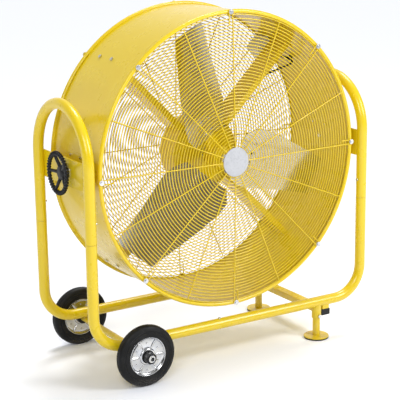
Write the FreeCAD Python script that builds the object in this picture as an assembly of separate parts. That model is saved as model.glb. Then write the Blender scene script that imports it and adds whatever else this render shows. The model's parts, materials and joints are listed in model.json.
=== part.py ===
import FreeCAD, Part
import math
import os
from FreeCAD import Vector

# Axial air mover: a drum fan on a wheeled tubular frame.  All lengths in mm.
# +Z is up, -Y is the air-outlet side with the badge, +X points from the wheels
# to the feet.  The origin is on the floor, under the middle of the whole object.

# --- placing -----------------------------------------------------------------
AXIS_Z = 755.0            # height of the fan axis, which is also the tilt axis
CENTRE_X = 5.0            # fan axis to middle of the overall width, which has the handwheel in it

# --- tubular frame -----------------------------------------------------------
TUBE_R = 20.0
TUBE_WALL = 2.0
UPRIGHT_X = 592.0         # half distance between the left and right uprights
UPRIGHT_Y = 199.0         # half distance between the front and rear uprights
LOWER_Z = 145.0           # centreline of the two floor-level tubes
LOWER_BEND_R = 120.0
SEAM_Z = 537.0            # where the arches plug onto the lower tubes
SEAM_GAP = 1.0
ARCH_TOP_Z = 1000.5       # centreline of the arches at the top
SPIGOT_HALF = 95.0        # half length of the tube inside each seam
SPIGOT_WALL = 2.0
JOINT_SCREW_Z = 608.0
TOP_SCREW_X = -70.0       # screw on top of the lower front tube
PLATE_INNER_X = 572.0     # side plates that carry the drum
PLATE_THICK = 6.0
PLATE_BOTTOM_Z = 705.0
PLATE_TOP_Z = 805.0
PLATE_TUBE_OVERLAP = 9.0  # how far each plate end reaches into the cope of its tube

# --- cross member and feet on the right --------------------------------------
CROSS_X = 417.0
CROSS_WIDTH = 40.0
CROSS_HEIGHT = 26.0
CROSS_TOP_Z = 114.0
CROSS_HALF_LENGTH = 208.0
CROSS_WALL = 2.0
CROSS_EDGE_R = 4.0
SADDLE_HALF_X = 15.0
SADDLE_HALF_Y = 13.0
PLUG_THICK = 3.0
PLUG_DEPTH = 12.0
PLUG_WALL = 3.0
FOOT_X = 381.0
FOOT_Y = 199.0
POST_R = 14.5
POST_WALL = 2.5
POST_TOP_Z = 124.0
SLEEVE_R = 18.5
SLEEVE_BOTTOM_Z = 82.0
SLEEVE_TOP_Z = 140.0
FOOT_BOLT_Z = 91.0
FLANGE_R = 49.0
FLANGE_THICK = 4.0
FLANGE_CHAMFER = 1.5
PAD_R = 48.0
PAD_THICK = 6.0
PAD_EDGE_R = 1.0

# --- wheels on the left ------------------------------------------------------
WHEEL_X = -420.0
WHEEL_Y = 258.0           # middle plane of each tyre
WHEEL_R = 113.0
TYRE_HALF_WIDTH = 20.0
# tread shoulder: radius, half width
TYRE_SHOULDER = ((WHEEL_R - 8.0, 20.0), (WHEEL_R - 3.0, 17.0), (WHEEL_R, 11.0))
RIM_R = 72.0
RIM_HALF_WIDTH = 18.0
RIM_SHEET = 3.0
RIM_WEB_Y = 9.0
HUB_R = 24.0
HUB_COLLAR_R = 30.0
HUB_COLLAR_THICK = 6.0
HUB_NOSE_R = 20.0
HUB_NOSE_CHAMFER = 2.0
HUB_INNER_Y = 226.0
HUB_OUTER_Y = 303.0
AXLE_R = 10.0
AXLE_HALF_LENGTH = 308.0
AXLE_CENTRE_HOLE_R = 7.5
AXLE_CENTRE_HOLE_DEPTH = 40.0
AXLE_TUBE_R = 12.0
RETAINER_R = 13.0
RETAINER_THICK = 1.5

# --- fasteners: head shape, head width, head height, shank radius -------------
M8_BOLT = ("hex", 13.0, 5.3, 4.0)
M6_BOLT = ("hex", 10.0, 4.0, 3.0)
M6_SCREW = ("pan", 10.0, 3.5, 3.0)
M5_SCREW = ("pan", 10.0, 3.5, 2.5)
FRAME_SCREW_REACH = 7.0
WALL_SCREW_REACH = 12.0

# --- fits --------------------------------------------------------------------
RUNNING_FIT = 0.05        # radial clearance of a shaft in its bore
FACE_GAP = 0.3            # clearance between faces that move past each other

# --- drum --------------------------------------------------------------------
DRUM_R = 540.0
DRUM_SHEET = 2.0
DRUM_HALF_LENGTH = 193.0
CURL_R = 8.0              # rolled rim
CURL_SHEET = 1.5
CURL_SLOT = 3.0
CURL_WELD = 1.0           # how far the drum wall runs into the skin of each rolled rim

# --- guards ------------------------------------------------------------------
SPOKE_WIRE_R = 2.0
RING_WIRE_R = 1.5
EDGE_WIRE_R = 1.5
RING_PITCH = 11.46
CENTRE_RING_R = 58.0
EDGE_RING_R = 531.5
RING_COUNT = 40
REAR_INNER_RINGS = 3
SPOKE_COUNT = 16
SPOKE_EDGE_Y = 195.4      # spoke centreline at the rim
GUARD_CONE = 16.0         # how far the middle of the guard stands proud of its rim
GUARD_CONE_R = 536.0
WELD_CLEARANCE = 0.02
HAIRPIN_TIP_R = 549.5
HAIRPIN_WIDTH = 15.0
HAIRPIN_LEG = 55.0
BADGE_R = 53.8
BADGE_THICK = 2.0
BADGE_EDGE_R = 0.8
BADGE_SEAT = 6.0          # how far the front spokes reach under the badge
CLIP_COUNT = 8
CLIP_R = 9.5              # round washer over each hairpin
CLIP_THICK = 1.5
GUARD_SCREW_R = 542.0
GUARD_SCREW_TIP_Y = 183.0

# --- motor and its struts ----------------------------------------------------
STRUT_ANGLES = (45.0, 135.0, 225.0, 315.0)
STRUT_WIDTH = 23.0
STRUT_DEPTH = 98.0
STRUT_WALL = 2.0
STRUT_SPAN = (100.0, 560.0)   # stock length, before it is trimmed to the ring and the wall
STRUT_SKIRT = 20.0        # stock beyond the drum wall band that is trimmed away
STRUT_FOOT_HALF_WIDTH = 32.0
STRUT_FOOT_THICK = 3.0
STRUT_FOOT_OVERHANG = 10.0
STRUT_BOLT_YS = (4.0, 91.0)
MOUNT_RING_R = 138.0
MOUNT_RING_WALL = 4.0
SHIELD_FRONT_Y = 4.0
SHIELD_THICK = 6.0
MOTOR_R = 118.0
MOTOR_WALL = 5.0
MOTOR_SHOULDER_Y = 115.0
# rear bell: radius, y
MOTOR_BELL_OUTSIDE = ((107.0, 150.0), (85.0, 188.0), (60.0, 197.0), (0.0, 197.0))
MOTOR_BELL_INSIDE = ((0.0, 192.0), (57.0, 192.0), (81.0, 184.0), (102.0, 147.0))
BEARING_SEAT_END_Y = 192.0
SHAFT_CLEARANCE = 2.0
BEARING_R = 26.0
BEARING_WIDTH = 12.0
FRONT_BEARING_Y = 10.0
REAR_BEARING_Y = 130.0
BEARING_SEAT_WALL = 5.0
STATOR_INNER_R = 78.0
CORE_R = 77.0
CORE_FRONT_Y = 35.0
CORE_REAR_Y = 105.0
SHAFT_R = 14.0
SHAFT_FRONT_Y = -134.0
SHAFT_REAR_Y = 145.0
MOTOR_BOLT_CIRCLE_R = 126.0
MOTOR_BOLT_REACH = 14.0

# --- rotor -------------------------------------------------------------------
BLADE_ANGLES = (-10.8, 109.2, 229.2)
BLADE_Y = -90.0
BLADE_THICK = 3.0
# radius, trailing edge, leading edge, pitch in degrees, camber
BLADE_SECTIONS = (
    (85.0, -80.0, 92.0, 22.0, 0.0),
    (130.0, -108.0, 120.0, 22.0, 0.0),
    (175.0, -120.0, 116.0, 22.0, 0.0),
    (260.0, -121.0, 95.0, 21.0, 4.0),
    (340.0, -121.0, 69.0, 20.5, 6.0),
    (420.0, -124.0, 42.0, 20.0, 7.0),
    (478.0, -128.0, 22.0, 19.5, 7.0),
)
ROOT_PITCH = 22.0
HUB_BOSS_R = 42.0
HUB_BOSS_FRONT_Y = -128.0
HUB_BOSS_REAR_Y = -50.0
HUB_BOSS_CHAMFER = 4.0
ARM_START = 30.0
ARM_END = 170.0
ARM_HALF_WIDTH = 32.0
ARM_THICK = 8.0
BLADE_BOLT_RADII = (105.0, 150.0)
BLADE_BOLT_CHORD = 20.0

# --- electrics ---------------------------------------------------------------
BOX_WALL = 3.0
TERMINAL_ANGLE = 45.0     # terminal box sits behind the upper right strut
TERMINAL_INNER_R = 461.0
TERMINAL_OUTER_R = 531.0
TERMINAL_HALF_WIDTH = 35.0
TERMINAL_DEPTH = 70.0
TERMINAL_LID = 5.0
BOX_EDGE_R = 5.0
LID_EDGE_R = 2.0
GLAND_R = 9.0
GLAND_NUT_WIDTH = 21.0
GLAND_LENGTH = 14.0
GLAND_THREAD_R = 7.0
BOX_GLAND_U = 516.0       # gland of the terminal box
BOX_GLAND_Y = 120.0
MOTOR_GLAND_U = 113.0     # gland of the motor
MOTOR_GLAND_V = -12.0
MOTOR_GLAND_Y = 126.0
CABLE_R = 4.0
# corners of the motor lead: distance along its strut, distance across, y; then bend radii
CABLE_CORNERS = (
    (BOX_GLAND_U, BOX_WALL - TERMINAL_HALF_WIDTH, BOX_GLAND_Y),
    (BOX_GLAND_U, -64.0, BOX_GLAND_Y),
    (524.0, -92.0, 8.0),
    (401.0, -60.0, 108.0),
    (300.0, -18.0, 122.0),
    (200.0, MOTOR_GLAND_V, MOTOR_GLAND_Y),
    (106.0, MOTOR_GLAND_V, MOTOR_GLAND_Y),
)
CABLE_BENDS = (18.0, 16.0, 40.0, 60.0, 60.0)
CLIP_BAND = 2.5
CLIP_HALF_LENGTH = 5.0
CLIP_HALF_WIDTH = 6.0
CLIP_PLACE = 0.6          # share of the way along the lead's run on the drum wall
SWITCH_ANGLE = 34.0
SWITCH_BASE_R = 530.0
SWITCH_TOP_R = 590.0
SWITCH_HALF_WIDTH = 45.0
SWITCH_FRONT_Y = 70.0
SWITCH_REAR_Y = 150.0
SWITCH_EDGE_R = 6.0
SWITCH_GLAND_U = 565.0
SWITCH_GLAND_V = -22.0
KNOB_R = 18.0
KNOB_THICK = 6.0
KNOB_GRIP_HEIGHT = 14.0
KNOB_GRIP_HALF_WIDTH = 4.0
KNOB_SHAFT_R = 4.0
KNOB_SHAFT_DEPTH = 15.0

# --- pivots and handwheel ----------------------------------------------------
PAD_SHEET = 3.0
PAD_HALF_HEIGHT = 65.0
PAD_HALF_LENGTH = 50.0
PAD_SCREW_Z = 52.0
PAD_SCREW_Y = 38.0
PAD_SCREW_RISE = 0.5      # the heads clear the curve of the pad
PAD_SCREW_REACH = 9.0
STUD_R = 8.0
STUD_FLANGE_R = 22.0
STUD_FLANGE_X = 549.0
STUD_SHOULDER_R = 14.0
NUT_WASHER_R = 16.0
STUD_END_X = 606.0
STUD_ROOT_DEPTH = 5.0     # how far the stud reaches inside the drum wall
WASHER_R = 28.0
WASHER_THICK = 3.0
NUT_WIDTH = 24.0
NUT_THICK = 13.0
HANDWHEEL_RING_R = 71.0
HANDWHEEL_GRIP_R = 9.0
HANDWHEEL_RING_X = 613.0
HANDWHEEL_HUB_R = 28.0
HANDWHEEL_HUB_END_X = 610.0
HANDWHEEL_HUB_EDGE_R = 5.0
HANDWHEEL_SPOKE_X = 600.0     # where the spokes leave the hub
HANDWHEEL_SPOKES = 5
HANDWHEEL_SPOKE_R = 6.0

X_AXIS = Vector(1, 0, 0)
Y_AXIS = Vector(0, 1, 0)
Z_AXIS = Vector(0, 0, 1)
FAN_CENTRE = Vector(0, 0, AXIS_Z)


# --- shape helpers -----------------------------------------------------------
def save(name, shapes):
    """Write one node; a list is kept as separate solids."""
    whole = Part.makeCompound(shapes) if isinstance(shapes, list) else shapes
    whole = whole.copy()
    whole.translate(Vector(CENTRE_X, 0, 0))
    whole.exportStep(os.path.join("parts", name + ".step"))


def box(x_range, y_range, z_range):
    """Box between two corners."""
    size = [high - low for low, high in (x_range, y_range, z_range)]
    return Part.makeBox(*size, Vector(x_range[0], y_range[0], z_range[0]))


def cylinder(radius, start, end):
    """Round bar between two points."""
    along = end - start
    return Part.makeCylinder(radius, along.Length, start, along)


def tube(outer, inner, start, end):
    """Round tube between two points."""
    return cylinder(outer, start, end).cut(cylinder(inner, start, end))


def fan_tube(outer, inner, y_start, y_end):
    """Tube about the fan axis."""
    return tube(outer, inner, FAN_CENTRE + Y_AXIS * y_start, FAN_CENTRE + Y_AXIS * y_end)


def hexagon_bar(across_flats, start, end):
    """Six-sided bar between two points, for bolt heads and nuts."""
    along = end - start
    side = Z_AXIS if abs(along.z) < 0.9 * along.Length else X_AXIS
    first = along.cross(side).normalize() * (across_flats / math.sqrt(3))
    corners = []
    for k in range(7):
        corners.append(start + FreeCAD.Rotation(along, 60 * k).multVec(first))
    return Part.Face(Part.makePolygon(corners)).extrude(along)


def bolt(under_head, direction, kind, reach):
    """Bolt whose head stands on under_head; direction points out of the head."""
    shape, width, height, shank_r = kind
    out = Vector(direction).normalize()
    top = under_head + out * height
    if shape == "hex":
        head = hexagon_bar(width, under_head, top)
    else:
        head = cylinder(width / 2, under_head, top)
    return head.fuse(cylinder(shank_r, under_head - out * reach, under_head))


def rounded_path(points, radii):
    """Straight runs through the points, joined by tangent arcs at the inner points."""
    edges = []
    start = points[0]
    for before, corner, after, radius in zip(points, points[1:], points[2:], radii):
        back = (before - corner).normalize()
        onward = (after - corner).normalize()
        half = back.getAngle(onward) / 2
        reach = radius / math.tan(half)
        arc_start = corner + back * reach
        arc_end = corner + onward * reach
        inward = (back + onward).normalize()
        middle = corner + inward * (radius / math.sin(half) - radius)
        if (arc_start - start).Length > 0.01:
            edges.append(Part.LineSegment(start, arc_start).toShape())
        edges.append(Part.Arc(arc_start, middle, arc_end).toShape())
        start = arc_end
    edges.append(Part.LineSegment(start, points[-1]).toShape())
    return Part.Wire(edges)


def sweep(path, radius):
    """Round bar along a path."""
    first = path.Edges[0]
    direction = first.tangentAt(first.FirstParameter)
    section = Part.Wire(Part.makeCircle(radius, first.valueAt(first.FirstParameter), direction))
    return path.makePipeShell([section], True, False)


def mirror_y(shape):
    """Copy on the other side of the plane across the middle of the drum."""
    return shape.mirror(Vector(0, 0, 0), Y_AXIS)


def mirror_x(shape):
    """Copy on the other side of the plane through the fan axis."""
    return shape.mirror(Vector(0, 0, 0), X_AXIS)


def both_sides(shape, mirror):
    """The shape and its mirror copy."""
    return [shape, mirror(shape)]


def turn(shape, angle):
    """Turn a shape about the fan axis from the +X direction towards +Z."""
    turned = shape.copy()
    turned.rotate(FAN_CENTRE, Y_AXIS, -angle)
    return turned


def at_arm(radius, tangent, y):
    """Point given along +X from the fan axis, before any turn."""
    return Vector(radius, y, AXIS_Z + tangent)


def cut_by(shape, tools):
    """Take several solids out of a shape."""
    for tool in tools:
        shape = shape.cut(tool)
    return shape


# --- frame -------------------------------------------------------------------
def lower_path(y):
    corner_x = UPRIGHT_X
    top = SEAM_Z - SEAM_GAP / 2
    points = [Vector(-corner_x, y, top), Vector(-corner_x, y, LOWER_Z),
              Vector(corner_x, y, LOWER_Z), Vector(corner_x, y, top)]
    return rounded_path(points, (LOWER_BEND_R, LOWER_BEND_R))


def arch_path(x):
    bottom = SEAM_Z + SEAM_GAP / 2
    points = [Vector(x, -UPRIGHT_Y, bottom), Vector(x, -UPRIGHT_Y, ARCH_TOP_Z),
              Vector(x, UPRIGHT_Y, ARCH_TOP_Z), Vector(x, UPRIGHT_Y, bottom)]
    return rounded_path(points, (UPRIGHT_Y, UPRIGHT_Y))


def hollow_tube(path):
    return sweep(path, TUBE_R).cut(sweep(path, TUBE_R - TUBE_WALL))


def uprights():
    """The four upright centrelines as (x, y)."""
    return [(x, y) for x in (-UPRIGHT_X, UPRIGHT_X) for y in (-UPRIGHT_Y, UPRIGHT_Y)]


def joint_spigots():
    outer = TUBE_R - TUBE_WALL
    pieces = []
    for x, y in uprights():
        low = Vector(x, y, SEAM_Z - SPIGOT_HALF)
        high = Vector(x, y, SEAM_Z + SPIGOT_HALF)
        pieces.append(tube(outer, outer - SPIGOT_WALL, low, high))
    return pieces


def frame_screws():
    """One screw per slip joint, facing the drum, and one on the lower front tube."""
    screws = []
    for x, y in uprights():
        inward = -1 if x > 0 else 1
        seat = Vector(x + inward * TUBE_R, y, JOINT_SCREW_Z)
        screws.append(bolt(seat, X_AXIS * inward, M6_SCREW, FRAME_SCREW_REACH))
    top = Vector(TOP_SCREW_X, -UPRIGHT_Y, LOWER_Z + TUBE_R)
    screws.append(bolt(top, Z_AXIS, M6_SCREW, FRAME_SCREW_REACH))
    return screws


def side_plate():
    """Right-hand plate, coped to the two uprights, with the bore for the pivot stud."""
    outer_x = PLATE_INNER_X + PLATE_THICK
    end_y = UPRIGHT_Y - PLATE_TUBE_OVERLAP
    plate = box((PLATE_INNER_X, outer_x), (-end_y, end_y), (PLATE_BOTTOM_Z, PLATE_TOP_Z))
    for y in (-UPRIGHT_Y, UPRIGHT_Y):
        low = Vector(UPRIGHT_X, y, PLATE_BOTTOM_Z - 1)
        plate = plate.cut(cylinder(TUBE_R, low, Vector(UPRIGHT_X, y, PLATE_TOP_Z + 1)))
    bore = cylinder(STUD_R + RUNNING_FIT, at_arm(PLATE_INNER_X - 1, 0, 0), at_arm(outer_x + 1, 0, 0))
    return plate.cut(bore)


def lower_tube_bar(y):
    """Straight solid bar the size of a lower tube, used to cope other parts to it."""
    reach = UPRIGHT_X - LOWER_BEND_R
    return cylinder(TUBE_R, Vector(-reach, y, LOWER_Z), Vector(reach, y, LOWER_Z))


def cross_member_block():
    half = CROSS_WIDTH / 2
    return box((CROSS_X - half, CROSS_X + half), (-CROSS_HALF_LENGTH, CROSS_HALF_LENGTH),
               (CROSS_TOP_Z - CROSS_HEIGHT, CROSS_TOP_Z))


def cross_member():
    half = CROSS_WIDTH / 2 - CROSS_WALL
    member = cross_member_block()
    long_edges = [e for e in member.Edges if e.Length > CROSS_HALF_LENGTH]
    member = member.makeFillet(CROSS_EDGE_R, long_edges)
    hollow = box((CROSS_X - half, CROSS_X + half), (-CROSS_HALF_LENGTH, CROSS_HALF_LENGTH),
                 (CROSS_TOP_Z - CROSS_HEIGHT + CROSS_WALL, CROSS_TOP_Z - CROSS_WALL))
    member = member.cut(hollow)
    for y in (-UPRIGHT_Y, UPRIGHT_Y):
        saddle = box((CROSS_X - SADDLE_HALF_X, CROSS_X + SADDLE_HALF_X),
                     (y - SADDLE_HALF_Y, y + SADDLE_HALF_Y), (CROSS_TOP_Z, LOWER_Z))
        member = member.fuse(saddle.cut(lower_tube_bar(y)).Solids[0])
    return member


def cross_member_plug():
    half = CROSS_WIDTH / 2
    bottom = CROSS_TOP_Z - CROSS_HEIGHT
    end = CROSS_HALF_LENGTH
    face = box((CROSS_X - half, CROSS_X + half), (end, end + PLUG_THICK), (bottom, CROSS_TOP_Z))
    upright_edges = [e for e in face.Edges if abs(e.Length - PLUG_THICK) < 0.01]
    face = face.makeFillet(CROSS_EDGE_R, upright_edges)
    inner = half - CROSS_WALL
    insert = box((CROSS_X - inner, CROSS_X + inner), (end - PLUG_DEPTH, end),
                 (bottom + CROSS_WALL, CROSS_TOP_Z - CROSS_WALL))
    inset = CROSS_WALL + PLUG_WALL
    core = box((CROSS_X - half + inset, CROSS_X + half - inset), (end - PLUG_DEPTH, end),
               (bottom + inset, CROSS_TOP_Z - inset))
    return face.fuse(insert.cut(core))


# --- feet --------------------------------------------------------------------
def foot_bore():
    """Room for the rear foot post through the sleeve and the tube wall above it."""
    return cylinder(POST_R + RUNNING_FIT, Vector(FOOT_X, FOOT_Y, SLEEVE_BOTTOM_Z - 1),
                    Vector(FOOT_X, FOOT_Y, LOWER_Z))


def foot_lock_bolt():
    """Bolt that clamps the rear post, with its head facing outwards."""
    reach = SLEEVE_R - POST_R - FACE_GAP
    seat = Vector(FOOT_X, FOOT_Y + SLEEVE_R, FOOT_BOLT_Z)
    return bolt(seat, Y_AXIS, M8_BOLT, reach)


def foot_sleeve():
    sleeve = cylinder(SLEEVE_R, Vector(FOOT_X, FOOT_Y, SLEEVE_BOTTOM_Z),
                      Vector(FOOT_X, FOOT_Y, SLEEVE_TOP_Z))
    tools = (foot_bore(), lower_tube_bar(FOOT_Y), cross_member_block(), foot_lock_bolt())
    return cut_by(sleeve, tools)


def foot_post():
    """Flanged tube; the flange stands on the pad."""
    flange = cylinder(FLANGE_R, Vector(FOOT_X, FOOT_Y, PAD_THICK),
                      Vector(FOOT_X, FOOT_Y, PAD_THICK + FLANGE_THICK))
    rim = [e for e in flange.Edges if e.BoundBox.ZMin > PAD_THICK + 1 and e.Length > 100]
    flange = flange.makeChamfer(FLANGE_CHAMFER, rim)
    post = tube(POST_R, POST_R - POST_WALL, Vector(FOOT_X, FOOT_Y, PAD_THICK + FLANGE_THICK),
                Vector(FOOT_X, FOOT_Y, POST_TOP_Z))
    return flange.fuse(post)


def foot_pad():
    pad = cylinder(PAD_R, Vector(FOOT_X, FOOT_Y, 0), Vector(FOOT_X, FOOT_Y, PAD_THICK))
    return pad.makeFillet(PAD_EDGE_R, [e for e in pad.Edges if e.BoundBox.ZMax < 1])


# --- wheels ------------------------------------------------------------------
def wheel_point(radius, y):
    return Vector(WHEEL_X, y, WHEEL_R + radius)


def wheel_tube(outer, inner, y_start, y_end):
    """Tube about the axle, in the rear wheel's place."""
    return tube(outer, inner, wheel_point(0, y_start), wheel_point(0, y_end))


def tyre():
    shoulder = list(TYRE_SHOULDER)
    near = [(radius, -half) for radius, half in shoulder]
    far = [(radius, half) for radius, half in reversed(shoulder)]
    bead = [(RIM_R, TYRE_HALF_WIDTH), (RIM_R, -TYRE_HALF_WIDTH)]
    outline = near + far + bead + near[:1]
    face = Part.Face(Part.makePolygon([wheel_point(radius, WHEEL_Y + y) for radius, y in outline]))
    return face.revolve(wheel_point(0, 0), Y_AXIS, 360)


def rim_half(side):
    """Pressed half of a rim; side is 1 for the outer and -1 for the inner half."""
    edge = sorted((WHEEL_Y, WHEEL_Y + side * RIM_HALF_WIDTH))
    web = sorted((WHEEL_Y + side * RIM_WEB_Y, WHEEL_Y + side * (RIM_WEB_Y + RIM_SHEET)))
    flange = wheel_tube(RIM_R, RIM_R - RIM_SHEET, *edge)
    return flange.fuse(wheel_tube(RIM_R - RIM_SHEET, HUB_R, *web))


def wheel_hub():
    collar_start = WHEEL_Y + RIM_WEB_Y + RIM_SHEET
    collar_end = collar_start + HUB_COLLAR_THICK
    body = cylinder(HUB_R, wheel_point(0, HUB_INNER_Y), wheel_point(0, collar_start))
    collar = cylinder(HUB_COLLAR_R, wheel_point(0, collar_start), wheel_point(0, collar_end))
    nose = cylinder(HUB_NOSE_R, wheel_point(0, collar_end), wheel_point(0, HUB_OUTER_Y))
    nose = nose.makeChamfer(HUB_NOSE_CHAMFER, [e for e in nose.Edges if e.BoundBox.YMin > HUB_OUTER_Y - 1])
    bore = cylinder(AXLE_R + RUNNING_FIT, wheel_point(0, HUB_INNER_Y - 1),
                    wheel_point(0, HUB_OUTER_Y + 1))
    return body.fuse([collar, nose]).cut(bore)


def axle_rod():
    rod = cylinder(AXLE_R, wheel_point(0, -AXLE_HALF_LENGTH), wheel_point(0, AXLE_HALF_LENGTH))
    for side in (-1, 1):
        end = side * AXLE_HALF_LENGTH
        hole = cylinder(AXLE_CENTRE_HOLE_R, wheel_point(0, end),
                        wheel_point(0, end - side * AXLE_CENTRE_HOLE_DEPTH))
        rod = rod.cut(hole)
    return rod


# --- drum --------------------------------------------------------------------
def drum_curl():
    """Rolled rim at the rear end of the shell, open on its inner side."""
    centre = Vector(DRUM_R + DRUM_SHEET, DRUM_HALF_LENGTH - CURL_R, AXIS_Z)
    circles = [Part.Face(Part.Wire(Part.makeCircle(r, centre, Z_AXIS)))
               for r in (CURL_R, CURL_R - CURL_SHEET)]
    slot_corner = centre - Vector(CURL_R + 1, CURL_SLOT, 0)
    slot = Part.makePlane(CURL_SHEET + 2, CURL_SLOT, slot_corner)
    section = circles[0].cut(circles[1]).cut(slot)
    return section.Faces[0].revolve(FAN_CENTRE, Y_AXIS, 360)


def drum_sheet():
    """Cylindrical wall, ending inside the outer skin of each curl."""
    end = DRUM_HALF_LENGTH - 2 * CURL_R + CURL_WELD
    return fan_tube(DRUM_R, DRUM_R - DRUM_SHEET, -end, end)


def strut_bolts():
    """Two hex bolts through the drum wall at each strut."""
    bolts = []
    for angle in STRUT_ANGLES:
        for y in STRUT_BOLT_YS:
            single = bolt(at_arm(DRUM_R, 0, y), X_AXIS, M8_BOLT, WALL_SCREW_REACH)
            bolts.append(turn(single, angle))
    return bolts


def pad_screws():
    """Four pan-head screws at each pivot pad."""
    screws = []
    seat_r = math.sqrt((DRUM_R + PAD_SHEET) ** 2 - PAD_SCREW_Z ** 2)
    for angle in (0, 180):
        for z in (-PAD_SCREW_Z, PAD_SCREW_Z):
            for y in (-PAD_SCREW_Y, PAD_SCREW_Y):
                seat = at_arm(seat_r + PAD_SCREW_RISE, z, y)
                single = bolt(seat, X_AXIS, M6_SCREW, PAD_SCREW_REACH)
                screws.append(turn(single, angle))
    return screws


def wall_band(thick):
    """Part of a tube lying on the outside of the drum, long enough for pads and flanges."""
    return fan_tube(DRUM_R + thick, DRUM_R, -PAD_HALF_LENGTH, PAD_HALF_LENGTH)


def pivot_pad():
    """Curved doubler on the right side of the drum."""
    block = box((0, STUD_FLANGE_X), (-PAD_HALF_LENGTH, PAD_HALF_LENGTH),
                (AXIS_Z - PAD_HALF_HEIGHT, AXIS_Z + PAD_HALF_HEIGHT))
    return wall_band(PAD_SHEET).common(block)


def pivot_stud():
    """Turned stud on the right side: coped flange, shoulder and journal."""
    flange = cylinder(STUD_FLANGE_R, at_arm(DRUM_R, 0, 0), at_arm(STUD_FLANGE_X, 0, 0))
    flange = flange.cut(wall_band(PAD_SHEET))
    shoulder_end = PLATE_INNER_X - FACE_GAP
    shoulder = cylinder(STUD_SHOULDER_R, at_arm(STUD_FLANGE_X, 0, 0), at_arm(shoulder_end, 0, 0))
    journal = cylinder(STUD_R, at_arm(DRUM_R - STUD_ROOT_DEPTH, 0, 0), at_arm(STUD_END_X, 0, 0))
    return flange.fuse([shoulder, journal])


def drum_shell(tools):
    """Sheet wall with a rolled rim welded on at each end."""
    curls = both_sides(drum_curl(), mirror_y)
    solids = [cut_by(drum_sheet(), curls)] + curls
    return [cut_by(solid, tools) for solid in solids]


# --- guards, in the rear guard's place ---------------------------------------
def spoke_y(radius):
    return SPOKE_EDGE_Y + GUARD_CONE * (1 - radius / GUARD_CONE_R)


def guard_ring(radius, wire_r):
    """Ring of six-sided wire lying flat against the inner side of the spokes."""
    y = spoke_y(radius) - SPOKE_WIRE_R - wire_r - WELD_CLEARANCE
    corner_r = wire_r / math.cos(math.pi / 6)
    corners = []
    for k in range(7):
        angle = k * math.pi / 3
        corners.append(at_arm(radius + corner_r * math.cos(angle), 0, y + corner_r * math.sin(angle)))
    return Part.Face(Part.makePolygon(corners)).revolve(FAN_CENTRE, Y_AXIS, 360)


def guard_rings(inner_rings):
    rings = [guard_ring(EDGE_RING_R, EDGE_WIRE_R), guard_ring(CENTRE_RING_R, SPOKE_WIRE_R)]
    for k in range(1, RING_COUNT + 1):
        rings.append(guard_ring(CENTRE_RING_R + k * RING_PITCH, RING_WIRE_R))
    for k in range(1, inner_rings + 1):
        rings.append(guard_ring(CENTRE_RING_R - k * RING_PITCH, RING_WIRE_R))
    return rings


def guard_point(radius, tangent):
    return at_arm(radius, tangent, spoke_y(radius))


def plain_spoke(start_r):
    return cylinder(SPOKE_WIRE_R, guard_point(start_r, 0), guard_point(EDGE_RING_R, 0))


def hairpin_spoke(start_r):
    """Spoke that turns back on itself round the screw at the rim."""
    points = [guard_point(start_r, 0), guard_point(HAIRPIN_TIP_R, 0),
              guard_point(HAIRPIN_TIP_R, HAIRPIN_WIDTH),
              guard_point(HAIRPIN_TIP_R - HAIRPIN_LEG, HAIRPIN_WIDTH)]
    half = HAIRPIN_WIDTH / 2
    return sweep(rounded_path(points, (half, half)), SPOKE_WIRE_R)


def guard_spokes(start_r):
    spokes = []
    for k in range(SPOKE_COUNT):
        single = hairpin_spoke(start_r) if k % 2 == 0 else plain_spoke(start_r)
        spokes.append(turn(single, k * 360 / SPOKE_COUNT))
    return spokes


def clip_face(height):
    """Point over the middle of one hairpin, height above the highest wire under the washer."""
    y = spoke_y(GUARD_SCREW_R - CLIP_R) + SPOKE_WIRE_R + height
    return at_arm(GUARD_SCREW_R, HAIRPIN_WIDTH / 2, y)


def guard_clip():
    """Round washer that holds one hairpin to the rolled rim."""
    return cylinder(CLIP_R, clip_face(0), clip_face(CLIP_THICK))


def guard_screw():
    seat = clip_face(CLIP_THICK)
    return bolt(seat, Y_AXIS, M5_SCREW, seat.y - GUARD_SCREW_TIP_Y)


def round_the_rims(shape):
    """Copies of a rear-rim piece at every clip of both guards."""
    copies = []
    for k in range(CLIP_COUNT):
        turned = turn(shape, k * 360 / CLIP_COUNT)
        copies += both_sides(turned, mirror_y)
    return copies


# --- motor -------------------------------------------------------------------
def wide_band(outer, inner):
    """Tube about the fan axis that is longer than the struts are deep."""
    return fan_tube(outer, inner, -STRUT_SKIRT, STRUT_DEPTH + STRUT_SKIRT)


def motor_strut():
    """Rectangular arm from the mount ring to the drum wall, with its foot plate."""
    half = STRUT_WIDTH / 2
    inner = half - STRUT_WALL
    foot_r = DRUM_R - DRUM_SHEET - STRUT_FOOT_THICK
    arm = box(STRUT_SPAN, (0, STRUT_DEPTH), (AXIS_Z - half, AXIS_Z + half))
    hollow = box(STRUT_SPAN, (STRUT_WALL, STRUT_DEPTH - STRUT_WALL), (AXIS_Z - inner, AXIS_Z + inner))
    arm = arm.cut(hollow).common(wide_band(foot_r, MOUNT_RING_R))
    reach = STRUT_FOOT_HALF_WIDTH
    foot_block = box(STRUT_SPAN, (-STRUT_FOOT_OVERHANG, STRUT_DEPTH + STRUT_FOOT_OVERHANG),
                     (AXIS_Z - reach, AXIS_Z + reach))
    foot = wide_band(foot_r + STRUT_FOOT_THICK, foot_r).common(foot_block)
    return arm.fuse(foot)


def motor_front_shield():
    """Front end shield with the front bearing seat."""
    rear = SHIELD_FRONT_Y + SHIELD_THICK
    plate = fan_tube(MOUNT_RING_R - MOUNT_RING_WALL, SHAFT_R + SHAFT_CLEARANCE, SHIELD_FRONT_Y, rear)
    seat = fan_tube(BEARING_R + BEARING_SEAT_WALL, BEARING_R, rear, rear + BEARING_WIDTH)
    return plate.fuse(seat)


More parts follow.
